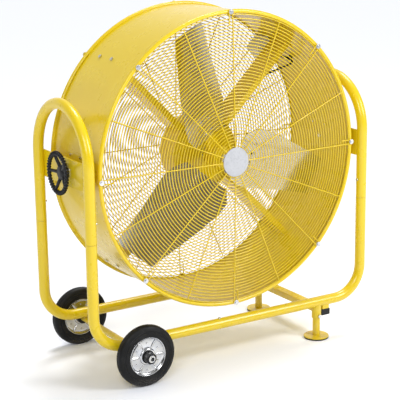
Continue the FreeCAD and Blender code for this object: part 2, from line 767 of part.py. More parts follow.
def motor_housing():
    """Round casing with a tapering rear bell and the rear bearing seat inside it."""
    front = SHIELD_FRONT_Y + SHIELD_THICK
    inner_r = MOTOR_R - MOTOR_WALL
    outside = ((MOTOR_R, front), (MOTOR_R, MOTOR_SHOULDER_Y)) + MOTOR_BELL_OUTSIDE
    inside = MOTOR_BELL_INSIDE + ((inner_r, MOTOR_SHOULDER_Y - 1), (inner_r, front))
    outline = outside + inside + outside[:1]
    points = [at_arm(radius, 0, y) for radius, y in outline]
    shell = Part.Face(Part.makePolygon(points)).revolve(FAN_CENTRE, Y_AXIS, 360)
    seat = fan_tube(BEARING_R + BEARING_SEAT_WALL, BEARING_R, REAR_BEARING_Y, BEARING_SEAT_END_Y)
    return shell.fuse(seat)


def motor_bolts():
    """Four bolts that hold the end shield, seen from the front."""
    single = bolt(at_arm(MOTOR_BOLT_CIRCLE_R, 0, SHIELD_FRONT_Y), -Y_AXIS, M6_BOLT, MOTOR_BOLT_REACH)
    return [turn(single, angle) for angle in STRUT_ANGLES]


def motor_shaft():
    """Shaft with the laminated core pressed on."""
    shaft = cylinder(SHAFT_R, FAN_CENTRE + Y_AXIS * SHAFT_FRONT_Y, FAN_CENTRE + Y_AXIS * SHAFT_REAR_Y)
    core = cylinder(CORE_R, FAN_CENTRE + Y_AXIS * CORE_FRONT_Y, FAN_CENTRE + Y_AXIS * CORE_REAR_Y)
    return shaft.fuse(core)


def motor_bearings():
    return [fan_tube(BEARING_R, SHAFT_R + RUNNING_FIT, y, y + BEARING_WIDTH)
            for y in (FRONT_BEARING_Y, REAR_BEARING_Y)]


# --- rotor -------------------------------------------------------------------
def blade_point(radius, chord, normal, pitch):
    """Point on a blade along +X: chord runs to the leading edge, normal to the rear."""
    angle = math.radians(pitch)
    y = BLADE_Y - chord * math.sin(angle) + normal * math.cos(angle)
    return at_arm(radius, chord * math.cos(angle) + normal * math.sin(angle), y)


def blade_section(radius, trailing, leading, pitch, camber):
    """Closed outline of the blade sheet at one radius."""
    stretch = 1 / math.cos(math.radians(pitch))
    stations = ((trailing * stretch, 0), ((trailing + leading) * stretch / 2, camber),
                (leading * stretch, 0))
    edges = []
    rows = []
    for offset in (0, BLADE_THICK):
        rows.append([blade_point(radius, chord, offset + bow, pitch) for chord, bow in stations])
    for row in rows:
        curve = Part.BSplineCurve()
        curve.interpolate(row)
        edges.append(curve.toShape())
    edges.append(Part.LineSegment(rows[0][0], rows[1][0]).toShape())
    edges.append(Part.LineSegment(rows[0][2], rows[1][2]).toShape())
    return Part.Wire(Part.__sortEdges__(edges))


def blade():
    return Part.makeLoft([blade_section(*values) for values in BLADE_SECTIONS], True, True)


def blade_bolts():
    """Four bolts that hold one blade on its arm."""
    bolts = []
    for radius in BLADE_BOLT_RADII:
        for chord in (-BLADE_BOLT_CHORD, BLADE_BOLT_CHORD):
            seat = blade_point(radius, chord, 0, ROOT_PITCH)
            out = seat - blade_point(radius, chord, 1, ROOT_PITCH)
            bolts.append(bolt(seat, out, M8_BOLT, BLADE_THICK + ARM_THICK))
    return bolts


def hub_arm():
    """Pitched arm under a blade root."""
    low, high = BLADE_THICK, BLADE_THICK + ARM_THICK
    ring = ((-ARM_HALF_WIDTH, low), (ARM_HALF_WIDTH, low), (ARM_HALF_WIDTH, high),
            (-ARM_HALF_WIDTH, high), (-ARM_HALF_WIDTH, low))
    points = [blade_point(ARM_START, chord, normal, ROOT_PITCH) for chord, normal in ring]
    return Part.Face(Part.makePolygon(points)).extrude(X_AXIS * (ARM_END - ARM_START))


def rotor_hub(bolts):
    boss = cylinder(HUB_BOSS_R, FAN_CENTRE + Y_AXIS * HUB_BOSS_FRONT_Y,
                    FAN_CENTRE + Y_AXIS * HUB_BOSS_REAR_Y)
    boss = boss.makeChamfer(HUB_BOSS_CHAMFER, [e for e in boss.Edges if e.Length > 6 * HUB_BOSS_R])
    hub = boss.fuse([turn(hub_arm(), angle) for angle in BLADE_ANGLES])
    bore = cylinder(SHAFT_R, FAN_CENTRE + Y_AXIS * (HUB_BOSS_FRONT_Y - 1),
                    FAN_CENTRE + Y_AXIS * (HUB_BOSS_REAR_Y + 1))
    return cut_by(hub, [bore] + bolts)


# --- electrics ---------------------------------------------------------------
def hollow_box(x_range, y_range, z_range, open_side):
    """Box with BOX_WALL walls; open_side is the axis ('x' or 'y') whose high end is open."""
    outer = box(x_range, y_range, z_range)
    upright = [e for e in outer.Edges if abs(e.tangentAt(e.FirstParameter).dot(
        X_AXIS if open_side == "x" else Y_AXIS)) > 0.9]
    outer = outer.makeFillet(BOX_EDGE_R, upright)
    inner_ranges = []
    for axis, (low, high) in zip("xyz", (x_range, y_range, z_range)):
        top = high + 1 if axis == open_side else high - BOX_WALL
        inner_ranges.append((low + BOX_WALL, top))
    return outer.cut(box(*inner_ranges))


def gland(start, direction):
    """Cable gland standing on start; direction points away from the box."""
    out = Vector(direction).normalize()
    shoulder = start + out * GLAND_LENGTH / 2
    end = start + out * GLAND_LENGTH
    thread = cylinder(GLAND_THREAD_R, start - out * BOX_WALL, start)
    nut = hexagon_bar(GLAND_NUT_WIDTH, start, shoulder)
    nose = cylinder(GLAND_R, shoulder, end)
    bore = cylinder(CABLE_R, start - out * (BOX_WALL + 1), end + out)
    return nut.fuse([nose, thread]).cut(bore)


def terminal_glands():
    """Gland of the terminal box and gland of the motor, before the turn to the strut."""
    box_side = at_arm(BOX_GLAND_U, -TERMINAL_HALF_WIDTH, BOX_GLAND_Y)
    motor_side = at_arm(MOTOR_GLAND_U, MOTOR_GLAND_V, MOTOR_GLAND_Y)
    return [gland(box_side, -Z_AXIS), gland(motor_side, X_AXIS)]


def cable_path():
    """Motor lead: gland, clip on the drum wall, behind the strut, motor."""
    return rounded_path([at_arm(*corner) for corner in CABLE_CORNERS], CABLE_BENDS)


def cable_clip(cable):
    """Saddle that holds the lead to the drum wall."""
    run_start, run_end = (at_arm(*corner) for corner in CABLE_CORNERS[1:3])
    run = run_end - run_start
    centre = run_start + run * CLIP_PLACE
    half = run.normalize() * CLIP_HALF_LENGTH
    band = cylinder(CABLE_R + CLIP_BAND, centre - half, centre + half)
    offset = centre - FAN_CENTRE
    wall_angle = math.degrees(math.atan2(offset.z, offset.x))
    inner_r = math.hypot(offset.x, offset.z)
    foot = box((inner_r, DRUM_R), (centre.y - CLIP_HALF_LENGTH, centre.y + CLIP_HALF_LENGTH),
               (AXIS_Z - CLIP_HALF_WIDTH, AXIS_Z + CLIP_HALF_WIDTH))
    foot = turn(foot, wall_angle).cut(wide_band(2 * DRUM_R, DRUM_R - DRUM_SHEET))
    return band.fuse(foot).cut(cable)


def switch_middle_y():
    return (SWITCH_FRONT_Y + SWITCH_REAR_Y) / 2


def switch_box():
    """Box on the outside of the drum; its floor is coped to the drum wall."""
    low, high = AXIS_Z - SWITCH_HALF_WIDTH, AXIS_Z + SWITCH_HALF_WIDTH
    shell = box((SWITCH_BASE_R, SWITCH_TOP_R), (SWITCH_FRONT_Y, SWITCH_REAR_Y), (low, high))
    radial = [e for e in shell.Edges if abs(e.tangentAt(e.FirstParameter).x) > 0.9]
    shell = shell.makeFillet(SWITCH_EDGE_R, radial)
    room = box((SWITCH_BASE_R, SWITCH_TOP_R - BOX_WALL),
               (SWITCH_FRONT_Y + BOX_WALL, SWITCH_REAR_Y - BOX_WALL), (low + BOX_WALL, high - BOX_WALL))
    drum = cylinder(DRUM_R, FAN_CENTRE, FAN_CENTRE + Y_AXIS * 2 * SWITCH_REAR_Y)
    bore = cylinder(KNOB_SHAFT_R + RUNNING_FIT, at_arm(SWITCH_BASE_R, 0, switch_middle_y()),
                    at_arm(SWITCH_TOP_R + 1, 0, switch_middle_y()))
    gland_side = at_arm(SWITCH_GLAND_U, SWITCH_GLAND_V, SWITCH_REAR_Y)
    thread = cylinder(GLAND_THREAD_R, gland_side - Y_AXIS * (BOX_WALL + 1), gland_side)
    return cut_by(shell, [room, drum, bore, thread])


def switch_gland():
    return gland(at_arm(SWITCH_GLAND_U, SWITCH_GLAND_V, SWITCH_REAR_Y), Y_AXIS)


def switch_knob():
    """Round knob with a grip bar and its spindle."""
    y = switch_middle_y()
    base = SWITCH_TOP_R + FACE_GAP
    top = base + KNOB_THICK
    disc = cylinder(KNOB_R, at_arm(base, 0, y), at_arm(top, 0, y))
    grip = box((top, top + KNOB_GRIP_HEIGHT), (y - KNOB_R + 1, y + KNOB_R - 1),
               (AXIS_Z - KNOB_GRIP_HALF_WIDTH, AXIS_Z + KNOB_GRIP_HALF_WIDTH))
    spindle = cylinder(KNOB_SHAFT_R, at_arm(SWITCH_TOP_R - KNOB_SHAFT_DEPTH, 0, y), at_arm(base, 0, y))
    return disc.fuse([grip, spindle])


# --- clamp -------------------------------------------------------------------
def washer_start_x():
    return PLATE_INNER_X + PLATE_THICK + FACE_GAP


def clamp_washer():
    start = washer_start_x()
    return tube(WASHER_R, STUD_R + RUNNING_FIT, at_arm(start, 0, 0), at_arm(start + WASHER_THICK, 0, 0))


def pivot_nut():
    """Plain washer and hex nut on the right-hand stud."""
    start = washer_start_x()
    washer_end = at_arm(start + WASHER_THICK, 0, 0)
    washer = tube(NUT_WASHER_R, STUD_R, at_arm(start, 0, 0), washer_end)
    nut_end = at_arm(start + WASHER_THICK + NUT_THICK, 0, 0)
    nut = hexagon_bar(NUT_WIDTH, washer_end, nut_end).cut(cylinder(STUD_R, washer_end, nut_end))
    return [washer, nut]


def handwheel():
    """Hub with a blind bore, five spokes and a round grip ring, on the right side."""
    start = washer_start_x() + WASHER_THICK
    hub = cylinder(HANDWHEEL_HUB_R, at_arm(start, 0, 0), at_arm(HANDWHEEL_HUB_END_X, 0, 0))
    rim = [e for e in hub.Edges if e.BoundBox.XMin > HANDWHEEL_HUB_END_X - 1]
    hub = hub.makeFillet(HANDWHEEL_HUB_EDGE_R, rim)
    ring_centre = at_arm(HANDWHEEL_RING_X, 0, 0)
    ring = Part.makeTorus(HANDWHEEL_RING_R, HANDWHEEL_GRIP_R, ring_centre, X_AXIS)
    pieces = [ring]
    for k in range(HANDWHEEL_SPOKES):
        angle = 2 * math.pi * k / HANDWHEEL_SPOKES
        outward = Vector(0, math.cos(angle), math.sin(angle))
        inner = at_arm(HANDWHEEL_SPOKE_X, 0, 0) + outward * HANDWHEEL_HUB_R * 0.7
        outer = ring_centre + outward * HANDWHEEL_RING_R
        pieces.append(cylinder(HANDWHEEL_SPOKE_R, inner, outer))
    bore = cylinder(STUD_R + RUNNING_FIT, at_arm(start - 1, 0, 0), at_arm(STUD_END_X + 1, 0, 0))
    return hub.fuse(pieces).cut(bore)


# --- build every node --------------------------------------------------------
def build_frame():
    screws = frame_screws()
    bores = both_sides(foot_bore(), mirror_y)
    save("lower_front_tube", cut_by(hollow_tube(lower_path(-UPRIGHT_Y)), bores + screws))
    save("lower_rear_tube", cut_by(hollow_tube(lower_path(UPRIGHT_Y)), bores))
    save("left_arch_tube", cut_by(hollow_tube(arch_path(-UPRIGHT_X)), screws))
    save("right_arch_tube", cut_by(hollow_tube(arch_path(UPRIGHT_X)), screws))
    save("joint_spigots", [cut_by(piece, screws) for piece in joint_spigots()])
    save("frame_screws", screws)
    save("left_side_plate", mirror_x(side_plate()))
    save("right_side_plate", side_plate())
    save("cross_member", cross_member())
    save("cross_member_plugs", both_sides(cross_member_plug(), mirror_y))


def build_feet():
    save("foot_sleeves", both_sides(foot_sleeve(), mirror_y))
    save("foot_lock_bolts", both_sides(foot_lock_bolt(), mirror_y))
    save("rear_foot_post", foot_post())
    save("rear_foot_pad", foot_pad())
    save("front_foot_post", mirror_y(foot_post()))
    save("front_foot_pad", mirror_y(foot_pad()))


def build_wheels():
    tube_end = HUB_INNER_Y - FACE_GAP
    save("axle_tube", wheel_tube(AXLE_TUBE_R, AXLE_R, -tube_end, tube_end))
    save("axle_rod", axle_rod())
    retainer_y = HUB_OUTER_Y + FACE_GAP
    retainer = wheel_tube(RETAINER_R, AXLE_R, retainer_y, retainer_y + RETAINER_THICK)
    save("axle_retaining_rings", both_sides(retainer, mirror_y))
    rims = [rim_half(1), rim_half(-1)]
    save("rear_tyre", tyre())
    save("rear_rim", rims)
    save("rear_wheel_hub", wheel_hub())
    save("front_tyre", mirror_y(tyre()))
    save("front_rim", [mirror_y(half) for half in rims])
    save("front_wheel_hub", mirror_y(wheel_hub()))


def build_drum():
    bolts = strut_bolts()
    screws = pad_screws()
    studs = both_sides(pivot_stud(), mirror_x)
    rim_screws = round_the_rims(guard_screw())
    save("drum_shell", drum_shell(bolts + screws + studs + rim_screws))
    save("strut_bolts", bolts)
    save("pivot_pad_screws", screws)
    save("pivot_studs", studs)
    pads = both_sides(pivot_pad(), mirror_x)
    save("pivot_pads", [cut_by(pad, screws + studs) for pad in pads])
    save("guard_screws", rim_screws)
    clip = guard_clip().cut(guard_screw())
    save("guard_clips", round_the_rims(clip))
    save("right_pivot_nut", pivot_nut())


def build_guards():
    centre = CENTRE_RING_R - SPOKE_WIRE_R
    innermost = CENTRE_RING_R - REAR_INNER_RINGS * RING_PITCH - RING_WIRE_R
    save("front_guard_rings", [mirror_y(ring) for ring in guard_rings(0)])
    save("front_guard_spokes", [mirror_y(spoke) for spoke in guard_spokes(centre - BADGE_SEAT)])
    save("rear_guard_rings", guard_rings(REAR_INNER_RINGS))
    save("rear_guard_spokes", guard_spokes(innermost))
    back = spoke_y(centre - BADGE_SEAT) + SPOKE_WIRE_R
    badge = cylinder(BADGE_R, FAN_CENTRE - Y_AXIS * back, FAN_CENTRE - Y_AXIS * (back + BADGE_THICK))
    face_edges = [e for e in badge.Edges if e.BoundBox.YMax < -back - BADGE_THICK / 2]
    save("guard_badge", badge.makeFillet(BADGE_EDGE_R, face_edges))


def build_motor():
    bolts = strut_bolts()
    struts = [turn(motor_strut(), angle) for angle in STRUT_ANGLES]
    save("motor_struts", [cut_by(strut, bolts) for strut in struts])
    save("motor_mount_ring", fan_tube(MOUNT_RING_R, MOUNT_RING_R - MOUNT_RING_WALL, 0, STRUT_DEPTH))
    shield_bolts = motor_bolts()
    glands = [turn(piece, TERMINAL_ANGLE) for piece in terminal_glands()]
    cable = turn(sweep(cable_path(), CABLE_R), TERMINAL_ANGLE)
    save("motor_front_shield", cut_by(motor_front_shield(), shield_bolts))
    save("motor_housing", cut_by(motor_housing(), shield_bolts + [glands[1], cable]))
    save("motor_bolts", shield_bolts)
    inner_r = MOTOR_R - MOTOR_WALL
    save("motor_stator", fan_tube(inner_r, STATOR_INNER_R, CORE_FRONT_Y, CORE_REAR_Y))
    save("motor_bearings", motor_bearings())
    save("motor_shaft", motor_shaft())


def build_rotor():
    bolts = [[turn(single, angle) for single in blade_bolts()] for angle in BLADE_ANGLES]
    for number, angle in enumerate(BLADE_ANGLES):
        save("blade_%d" % (number + 1), cut_by(turn(blade(), angle), bolts[number]))
    every_bolt = sum(bolts, [])
    save("blade_bolts", every_bolt)
    save("rotor_hub", rotor_hub(every_bolt))


def build_electrics():
    rear = STRUT_DEPTH + TERMINAL_DEPTH
    radial = (TERMINAL_INNER_R, TERMINAL_OUTER_R)
    width = (AXIS_Z - TERMINAL_HALF_WIDTH, AXIS_Z + TERMINAL_HALF_WIDTH)
    case = turn(hollow_box(radial, (STRUT_DEPTH, rear), width, "y"), TERMINAL_ANGLE)
    lid = box(radial, (rear, rear + TERMINAL_LID), width)
    lid = lid.makeFillet(LID_EDGE_R, [e for e in lid.Edges if e.BoundBox.YMin > rear + 1])
    glands = [turn(piece, TERMINAL_ANGLE) for piece in terminal_glands()]
    path = cable_path()
    cable = turn(sweep(path, CABLE_R), TERMINAL_ANGLE)
    save("terminal_box", cut_by(case, [glands[0], cable]))
    save("terminal_box_lid", turn(lid, TERMINAL_ANGLE))
    save("motor_cable", cable)
    save("cable_clip", turn(cable_clip(sweep(path, CABLE_R)), TERMINAL_ANGLE))
    save("cable_glands", glands + [turn(switch_gland(), SWITCH_ANGLE)])
    save("switch_box", turn(switch_box(), SWITCH_ANGLE))
    save("switch_knob", turn(switch_knob(), SWITCH_ANGLE))
    print("motor lead: radius %.1f mm, length %.0f mm" % (CABLE_R, path.Length))
    print("section x length / volume: %.4f" % (math.pi * CABLE_R ** 2 * path.Length / cable.Volume))


def build_clamp():
    save("clamp_washer", mirror_x(clamp_washer()))
    save("handwheel", mirror_x(handwheel()))


os.makedirs("parts", exist_ok=True)
build_frame()
build_feet()
build_wheels()
build_drum()
build_guards()
build_motor()
build_rotor()
build_electrics()
build_clamp()
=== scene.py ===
"""Looks of the axial drum fan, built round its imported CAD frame.

The frame is in metres: +Z up, -Y is the badge side, +X runs from the wheels to the feet. The
named sizes and outlines of guards, wheels and handwheel are in millimetres. CAD nodes with the
right shape stay and get a finish. The guards' rings, the wheels and the handwheel are built here
with more shape than the solids have.
"""

import json
import math

import bpy
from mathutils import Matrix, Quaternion, Vector


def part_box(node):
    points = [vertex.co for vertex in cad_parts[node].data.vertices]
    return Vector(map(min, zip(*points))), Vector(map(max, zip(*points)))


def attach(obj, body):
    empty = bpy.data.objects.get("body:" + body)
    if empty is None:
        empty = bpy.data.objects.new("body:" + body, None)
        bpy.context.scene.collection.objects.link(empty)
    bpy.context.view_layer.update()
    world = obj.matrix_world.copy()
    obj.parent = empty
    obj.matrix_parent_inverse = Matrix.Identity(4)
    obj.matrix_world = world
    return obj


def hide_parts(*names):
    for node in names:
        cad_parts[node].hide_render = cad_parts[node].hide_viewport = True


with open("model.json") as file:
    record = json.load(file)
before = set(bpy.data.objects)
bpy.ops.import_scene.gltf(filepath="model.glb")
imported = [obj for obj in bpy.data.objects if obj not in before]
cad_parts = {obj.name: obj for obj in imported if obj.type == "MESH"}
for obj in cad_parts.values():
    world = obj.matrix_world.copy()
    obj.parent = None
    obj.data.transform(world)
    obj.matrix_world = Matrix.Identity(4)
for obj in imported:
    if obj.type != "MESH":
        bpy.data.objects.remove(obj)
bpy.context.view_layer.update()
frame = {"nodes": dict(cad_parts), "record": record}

MM = 0.001
TURN = 2 * math.pi


# --- places read from the frame ----------------------------------------------
def middle(node):
    """Centre of a node's box at rest."""
    low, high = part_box(node)
    return (low + high) / 2


FAN_AXIS = Vector((middle("drum_shell").x, 0, middle("drum_shell").z))


# --- mesh building -----------------------------------------------------------
DOME = 0.4                # height of a domed end over its radius
DOME_STEPS = 3
TIP_R = 0.02              # radius of the small flat left at the tip of a dome, mm
RING_SEGMENTS = 180
WIRE_SIDES = 8


def add_mesh(name, vertices, faces, sharp_degrees=40):
    """New object from vertices and faces, smooth except across sharp edges."""
    mesh = bpy.data.meshes.new(name)
    mesh.from_pydata(vertices, [], faces)
    mesh.validate()
    mesh.polygons.foreach_set("use_smooth", [True] * len(mesh.polygons))
    mesh.set_sharp_from_angle(angle=math.radians(sharp_degrees))
    piece = bpy.data.objects.new(name, mesh)
    bpy.context.scene.collection.objects.link(piece)
    return piece


def grid(rows, wrap_rows, wrap_columns, first):
    """Vertices and quads of a grid of points; first is the number of vertices before it."""
    count, width = len(rows), len(rows[0])
    vertices = [point for row in rows for point in row]
    faces = []
    for i in range(count if wrap_rows else count - 1):
        for j in range(width if wrap_columns else width - 1):
            here, right = j, (j + 1) % width
            row, after = i * width, (i + 1) % count * width
            faces.append([first + k for k in (row + here, row + right, after + right, after + here)])
    return vertices, faces


def join_grids(name, grids, sharp_degrees=40):
    """One object from several (rows, wrap_rows, wrap_columns)."""
    vertices, faces = [], []
    for rows, wrap_rows, wrap_columns in grids:
        more_vertices, more_faces = grid(rows, wrap_rows, wrap_columns, len(vertices))
        vertices += more_vertices
        faces += more_faces
    return add_mesh(name, vertices, faces, sharp_degrees)


def about_y(centre, radius, angle, y):
    """Point at a radius and angle about an axis along Y; y is counted from centre."""
    return centre + Vector((radius * math.cos(angle), y, radius * math.sin(angle)))


def about_x(centre, radius, angle, x):
    """Point at a radius and angle about an axis along X; x is counted from centre."""
    return centre + Vector((x, radius * math.cos(angle), radius * math.sin(angle)))


def lathe(outline, centre, segments, around=about_y, phase=0.0):
    """Rows of a turned shape; outline is a list of (radius, distance along the axis) in mm."""
    rows = []
    for k in range(segments):
        angle = TURN * (k + phase) / segments
        rows.append([around(centre, radius * MM, angle, along * MM) for radius, along in outline])
    return rows


def wire_ring(radius, wire_r, y):
    """Round wire bent to a circle about the fan axis."""
    outline = []
    for k in range(WIRE_SIDES):
        angle = TURN * k / WIRE_SIDES
        outline.append((radius + wire_r * math.cos(angle), y + wire_r * math.sin(angle)))
    return lathe(outline, FAN_AXIS, RING_SEGMENTS), True, True


def bar(start, end, start_r, end_r, sides=16):
    """Rows of a round bar in mm whose ends are domed."""
    axis = (end - start).normalized()
    side = axis.orthogonal().normalized()
    other = axis.cross(side)
    stations = []
    for k in range(DOME_STEPS + 1):
        dome = k / DOME_STEPS * math.pi / 2
        stations.append((start - axis * start_r * DOME * math.cos(dome), start_r * math.sin(dome)))
    for k in range(DOME_STEPS + 1):
        dome = math.pi / 2 - k / DOME_STEPS * math.pi / 2
        stations.append((end + axis * end_r * DOME * math.cos(dome), end_r * math.sin(dome)))
    rows = []
    for place, radius in stations:
        size = max(radius, TIP_R)
        row = []
        for k in range(sides):
            angle = TURN * k / sides
            row.append((place + side * size * math.cos(angle) + other * size * math.sin(angle)) * MM)
        rows.append(row)
    return rows, False, True


# --- finishes ----------------------------------------------------------------
def map_range(nodes, links, value, low, high, to_low, to_high):
    """Values from low to high, spread smoothly from to_low to to_high."""
    node = nodes.new("ShaderNodeMapRange")
    node.interpolation_type = "SMOOTHSTEP"
    node.inputs["From Min"].default_value = low
    node.inputs["From Max"].default_value = high
    node.inputs["To Min"].default_value = to_low
    node.inputs["To Max"].default_value = to_high
    links.new(value, node.inputs["Value"])
    return node.outputs["Result"]


def multiply(nodes, links, first, second):
    node = nodes.new("ShaderNodeMath")
    node.operation = "MULTIPLY"
    links.new(first, node.inputs[0])
    links.new(second, node.inputs[1])
    return node.outputs["Value"]


class Finish:
    """A procedural material, with short calls for the nodes it is made of.

    Noise scales are per metre. A colour is a node's output or (r, g, b).
    """

    def __init__(self, name, metallic=0.0, coat=0.0, coat_roughness=0.1):
        self.material = bpy.data.materials.new(name)
        self.material.use_nodes = True
        tree = self.material.node_tree
        self.nodes, self.links = tree.nodes, tree.links
        self.shader = self.nodes["Principled BSDF"]
        self.shader.inputs["Metallic"].default_value = metallic
        self.shader.inputs["Coat Weight"].default_value = coat
        self.shader.inputs["Coat Roughness"].default_value = coat_roughness
        self.place = self.nodes.new("ShaderNodeTexCoord").outputs["Object"]

    def stretched(self, stretch):
        """The object's coordinates, scaled along its axes."""
        mapping = self.nodes.new("ShaderNodeMapping")
        mapping.inputs["Scale"].default_value = stretch
        self.links.new(self.place, mapping.inputs["Vector"])
        return mapping.outputs["Vector"]

    def noise(self, scale, detail, stretch=None):
        node = self.nodes.new("ShaderNodeTexNoise")
        node.inputs["Scale"].default_value = scale
        node.inputs["Detail"].default_value = detail
        place = self.stretched(stretch) if stretch else self.place
        self.links.new(place, node.inputs["Vector"])
        return node.outputs["Fac"]

    def cells(self, scale):
        node = self.nodes.new("ShaderNodeTexVoronoi")
        node.inputs["Scale"].default_value = scale
        self.links.new(self.place, node.inputs["Vector"])
        return node.outputs["Distance"]

    def height(self):
        """Height above the floor at rest, in metres."""
        node = self.nodes.new("ShaderNodeSeparateXYZ")
        self.links.new(self.place, node.inputs["Vector"])
        return node.outputs["Z"]

    def remap(self, value, low, high, to_low=0.0, to_high=1.0):
        return map_range(self.nodes, self.links, value, low, high, to_low, to_high)

    def patches(self, scale, detail, low, high, to_low=0.0, to_high=1.0, stretch=None):
        """Noise whose values from low to high run from to_low to to_high."""
        return self.remap(self.noise(scale, detail, stretch), low, high, to_low, to_high)

    def low_down(self, top, amount, patches):
        """Patches that fade from amount at the floor to nothing at the height top."""
        fade = self.remap(self.height(), 0.0, top, amount, 0.0)
        return multiply(self.nodes, self.links, fade, patches)

    def colour_in(self, socket, colour):
        if isinstance(colour, bpy.types.NodeSocket):
            self.links.new(colour, socket)
        else:
            socket.default_value = (*colour, 1.0)

    def blend(self, factor, first, second):
        """Colour between first, where factor is 0, and second, where it is 1."""
        node = self.nodes.new("ShaderNodeMix")
        node.data_type = "RGBA"
        self.links.new(factor, node.inputs["Factor"])
        first_socket, second_socket = (socket for socket in node.inputs if socket.type == "RGBA")
        self.colour_in(first_socket, first)
        self.colour_in(second_socket, second)
        return next(socket for socket in node.outputs if socket.type == "RGBA")

    def bump(self, value, distance, under=None):
        """Normal of a relief as deep as distance, laid over the normal under."""
        node = self.nodes.new("ShaderNodeBump")
        node.inputs["Distance"].default_value = distance
        self.links.new(value, node.inputs["Height"])
        if under is not None:
            self.links.new(under, node.inputs["Normal"])
        return node.outputs["Normal"]

    def rounded_edges(self, radius):
        """Normal that is rounded across edges, as a thick coat leaves them."""
        node = self.nodes.new("ShaderNodeBevel")
        node.samples = 4
        node.inputs["Radius"].default_value = radius
        return node.outputs["Normal"]

    def finish(self, colour, roughness, normal):
        self.colour_in(self.shader.inputs["Base Color"], colour)
        self.links.new(roughness, self.shader.inputs["Roughness"])
        self.links.new(normal, self.shader.inputs["Normal"])
        return self.material


def yellow_paint():
    """Powder coat: slow drift of tone, soft mottle, dust near the floor and orange peel."""
    look = Finish("yellow_powder_coat", coat=0.15, coat_roughness=0.05)
    drift = look.patches(2.2, 2, 0.35, 0.65)
    tone = look.blend(drift, (0.70, 0.510, 0.003), (0.68, 0.485, 0.003))
    mottle = look.patches(34, 4, 0.45, 0.8, 0, 0.2)
    tone = look.blend(mottle, tone, (0.74, 0.560, 0.008))
    dust = look.low_down(0.35, 0.12, look.patches(55, 5, 0.4, 0.7))
    tone = look.blend(dust, tone, (0.62, 0.57, 0.42))
    roughness = look.patches(18, 4, 0.3, 0.7, 0.26, 0.32)
    peel = look.bump(look.noise(480, 1.5), 0.02 * MM, look.rounded_edges(1.2 * MM))
    return look.finish(tone, roughness, peel)


def plated(name, cool, warm, low, high, grain):
    """Plated or turned steel: cool and warm tones, dull stains and fine wiping marks."""
    look = Finish(name, metallic=1.0)
    tone = look.blend(look.patches(30, 4, 0.35, 0.65), cool, warm)
    stain = look.patches(160, 5, 0.60, 0.75, 0, 0.2)
    tone = look.blend(stain, tone, (0.42, 0.42, 0.41))
    brushed = look.noise(grain, 3, (1.0, 0.08, 1.0))
    roughness = look.remap(brushed, 0.3, 0.7, low, high)
    return look.finish(tone, roughness, look.bump(brushed, 0.05 * MM, look.rounded_edges(0.5 * MM)))


def bright_steel():
    return plated("turned_steel", (0.63, 0.64, 0.66), (0.70, 0.69, 0.66), 0.16, 0.30, 900)


def zinc_plate():
    return plated("zinc_plating", (0.54, 0.55, 0.57), (0.62, 0.62, 0.61), 0.12, 0.26, 500)


def moulded(name, dark, light, low, high, grain_depth, grain=1400):
    """Moulded plastic or rubber: cloudy tone, pale scuffs and a fine spark-eroded grain."""
    look = Finish(name)
    look.shader.inputs["Specular IOR Level"].default_value = 0.3
    tone = look.blend(look.patches(26, 4, 0.3, 0.7), dark, light)
    scuffs = look.patches(300, 4, 0.62, 0.78, 0, 0.25, (1.0, 1.0, 0.15))
    scuffed = tuple(min(1.0, channel * 1.6 + 0.004) for channel in light)
    tone = look.blend(scuffs, tone, scuffed)
    roughness = look.patches(90, 3, 0.3, 0.7, low, high)
    relief = look.bump(look.cells(grain), grain_depth, look.rounded_edges(0.6 * MM))
    return look.finish(tone, roughness, relief)


def black_plastic():
    dark, light = (0.004, 0.004, 0.005), (0.008, 0.008, 0.009)
    return moulded("black_moulding", dark, light, 0.30, 0.42, 0.08 * MM)


def black_rubber():
    dark, light = (0.004, 0.004, 0.004), (0.009, 0.009, 0.008)
    return moulded("rubber_pad", dark, light, 0.6, 0.8, 0.12 * MM)


def cable_sheath():
    dark, light = (0.008, 0.008, 0.009), (0.015, 0.015, 0.016)
    return moulded("cable_sheath_pvc", dark, light, 0.38, 0.5, 0.05 * MM, 900)


def grey_plastic():
    dark, light = (0.70, 0.70, 0.67), (0.78, 0.78, 0.75)
    return moulded("grey_moulding", dark, light, 0.36, 0.5, 0.10 * MM)


def tyre_rubber():
    """Solid tyre: black rubber with a grey bloom, dusty at the tread."""
    look = Finish("tyre_compound")
    look.shader.inputs["Specular IOR Level"].default_value = 0.22
    tone = look.blend(look.patches(22, 4, 0.3, 0.7), (0.004, 0.004, 0.004), (0.009, 0.009, 0.009))
    bloom = look.patches(140, 5, 0.55, 0.8, 0, 0.4)
    tone = look.blend(bloom, tone, (0.030, 0.029, 0.027))
    dust = look.low_down(0.05, 0.5, look.patches(260, 4, 0.4, 0.7))
    tone = look.blend(dust, tone, (0.16, 0.15, 0.14))
    roughness = look.patches(60, 3, 0.3, 0.7, 0.42, 0.62)
    return look.finish(tone, roughness, look.bump(look.noise(900, 3), 0.15 * MM))


def badge_grey():
    """Grey lacquer with fine bright flakes."""
    look = Finish("badge_lacquer", coat=0.4, coat_roughness=0.06)
    tone = look.blend(look.patches(18, 3, 0.35, 0.65), (0.385, 0.39, 0.405), (0.43, 0.435, 0.45))
    flakes = look.patches(600, 2, 0.6, 0.8, 0, 0.25)
    tone = look.blend(flakes, tone, (0.72, 0.74, 0.77))
    roughness = look.patches(120, 3, 0.3, 0.7, 0.25, 0.36)
    relief = look.bump(look.noise(300, 2), 0.04 * MM, look.rounded_edges(0.8 * MM))
    return look.finish(tone, roughness, relief)


